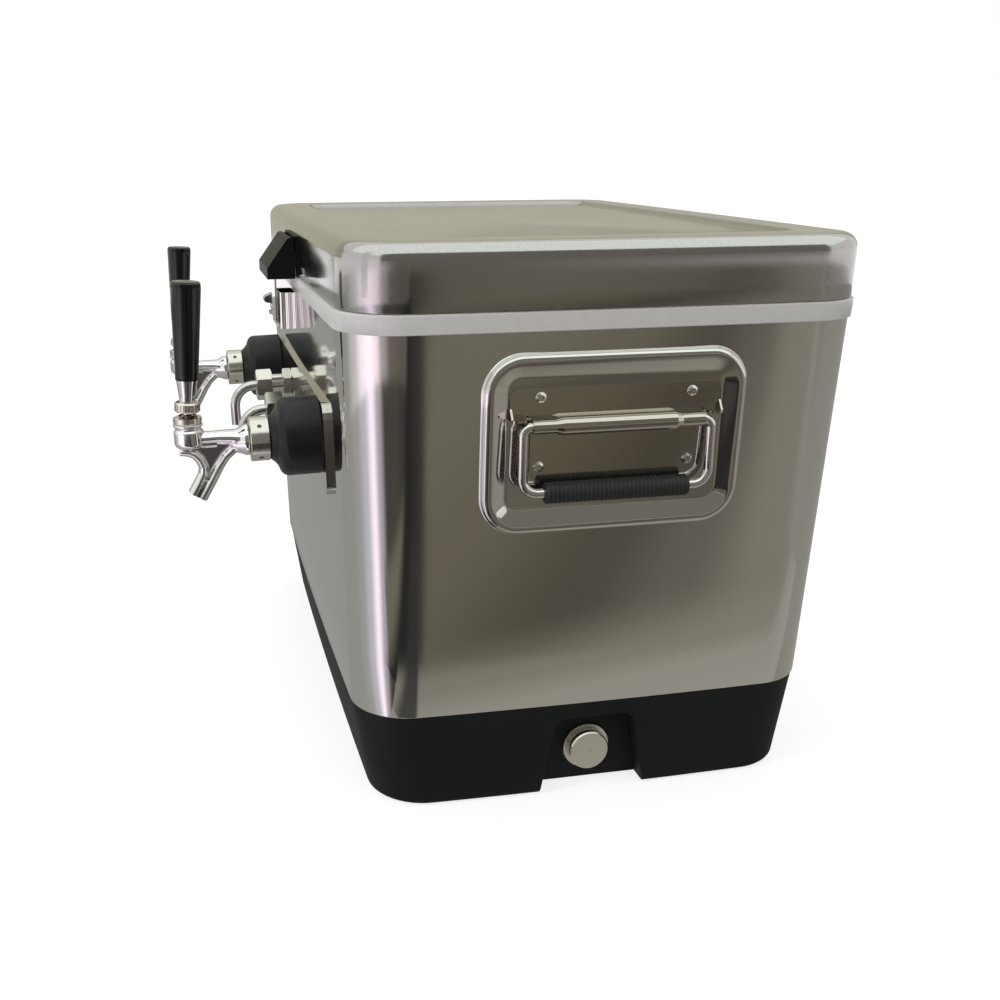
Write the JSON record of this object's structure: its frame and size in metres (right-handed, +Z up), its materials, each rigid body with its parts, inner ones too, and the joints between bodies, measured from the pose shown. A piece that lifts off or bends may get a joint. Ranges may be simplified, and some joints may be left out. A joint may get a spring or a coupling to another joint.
{
  "type": "jockey box beer cooler",
  "caption": "Steel-belted picnic cooler with front-mounted draught beer taps, hose inlets, cooling coils, hinged lid, latch, carry handles and drain.",
  "frame": {"origin": "centre of the flat underside", "axes": "+Z up, the taps face -Y, +X towards the end with the drain"},
  "size_m": [0.6294, 0.5382, 0.45],
  "materials": {
    "matte_black_base": "moulded base, fine texture",
    "stainless": "brushed stainless sheet",
    "polished_stainless": "polished stainless",
    "white_plastic": "white moulded liner",
    "foam": "rigid insulating foam",
    "grey_lid": "satin grey steel",
    "chrome": "polished chrome",
    "nickel": "satin nickel-plated brass",
    "black_plastic": "gloss black moulding",
    "matte_black": "matte black moulding",
    "black_rubber": "soft black rubber",
    "seal_rubber": "grey seal",
    "steel_wire": "bright steel rod"
  },
  "bodies": {
    "cooler": {"base_tub": "matte_black_base", "steel_belt": "stainless", "inner_liner": "white_plastic", "foam_core": "foam", "hinge_body_leaves": "polished_stainless", "hinge_pins": "steel_wire", "body_screws": "steel_wire", "strike_plate": "polished_stainless", "bottle_opener": "polished_stainless", "face_plate": "polished_stainless", "coupling_nuts": "chrome", "faucet_bonnets": "chrome", "wall_back_nuts": "nickel", "inlet_bulkheads": "nickel", "inlet_lock_nuts": "nickel", "inlet_hex_nuts": "nickel", "coil_union_nuts": "nickel", "coil_stands": "white_plastic", "handle_rivets": "steel_wire", "drain_body": "nickel", "shank_collar_left": "matte_black", "faucet_shank_left": "chrome", "faucet_body_left": "chrome", "inlet_elbow_left": "chrome", "cooling_coil_left": "polished_stainless", "handle_plate_left": "polished_stainless", "shank_collar_right": "matte_black", "faucet_shank_right": "chrome", "faucet_body_right": "chrome", "inlet_elbow_right": "chrome", "cooling_coil_right": "polished_stainless", "handle_plate_right": "polished_stainless"},
    "lid": {"lid_skin": "grey_lid", "lid_liner": "white_plastic", "lid_foam": "foam", "hinge_lid_leaves": "polished_stainless", "lid_screws": "steel_wire", "latch_bracket": "matte_black", "latch_pin": "matte_black"},
    "latch": {"latch_lever": "matte_black", "latch_tongue": "polished_stainless"},
    "drain_stopper": {"drain_cap": "nickel", "drain_cap_seal": "seal_rubber"},
    "tap_lever_left": {"lever_stem_left": "chrome", "jam_collar_left": "nickel", "ferrule_left": "chrome", "tap_knob_left": "black_plastic"},
    "tap_shaft_left": {"faucet_shaft_left": "polished_stainless", "seat_washer_left": "black_rubber"},
    "carry_handle_left": {"handle_bail_left": "steel_wire", "handle_grip_left": "matte_black"},
    "tap_lever_right": {"lever_stem_right": "chrome", "jam_collar_right": "nickel", "ferrule_right": "chrome", "tap_knob_right": "black_plastic"},
    "tap_shaft_right": {"faucet_shaft_right": "polished_stainless", "seat_washer_right": "black_rubber"},
    "carry_handle_right": {"handle_bail_right": "steel_wire", "handle_grip_right": "matte_black"}
  },
  "joints": [
    {"name": "lid_hinge", "type": "hinge", "parent": "cooler", "child": "lid", "pos_m": [0, 0.211, 0.3935], "axis": [-1, 0, 0], "range_deg": [0, 100]},
    {"name": "latch_hinge", "type": "hinge", "parent": "lid", "child": "latch", "pos_m": [0, -0.2119, 0.432], "axis": [-1, 0, 0], "range_deg": [0, 95]},
    {"name": "tap_left", "type": "hinge", "parent": "cooler", "child": "tap_lever_left", "pos_m": [-0.165, -0.31128, 0.30159], "axis": [1, 0, 0], "range_deg": [0, 25]},
    {"name": "valve_left", "type": "slide", "parent": "cooler", "child": "tap_shaft_left", "axis": [0, 0.9996, 0.0268], "range_m": [0, 0.00781]},
    {"name": "tap_right", "type": "hinge", "parent": "cooler", "child": "tap_lever_right", "pos_m": [0.165, -0.31128, 0.30159], "axis": [1, 0, 0], "range_deg": [0, 25]},
    {"name": "valve_right", "type": "slide", "parent": "cooler", "child": "tap_shaft_right", "axis": [0, 0.9996, 0.0268], "range_m": [0, 0.00781]},
    {"name": "handle_left", "type": "hinge", "parent": "cooler", "child": "carry_handle_left", "pos_m": [-0.30646, 0, 0.31708], "axis": [0, 1, 0], "range_deg": [0, 90]},
    {"name": "handle_right", "type": "hinge", "parent": "cooler", "child": "carry_handle_right", "pos_m": [0.30646, 0, 0.31708], "axis": [0, -1, 0], "range_deg": [0, 90]},
    {"name": "drain_cap_turn", "type": "hinge", "parent": "cooler", "child": "drain_stopper", "pos_m": [0.2665, 0, 0.03], "axis": [1, 0, 0], "range_deg": [0, 350]}
  ],
  "couplings": [
    {"joint": "valve_left", "follows": "tap_left", "m_per_rad": 0.01767},
    {"joint": "valve_right", "follows": "tap_right", "m_per_rad": 0.01767}
  ]
}
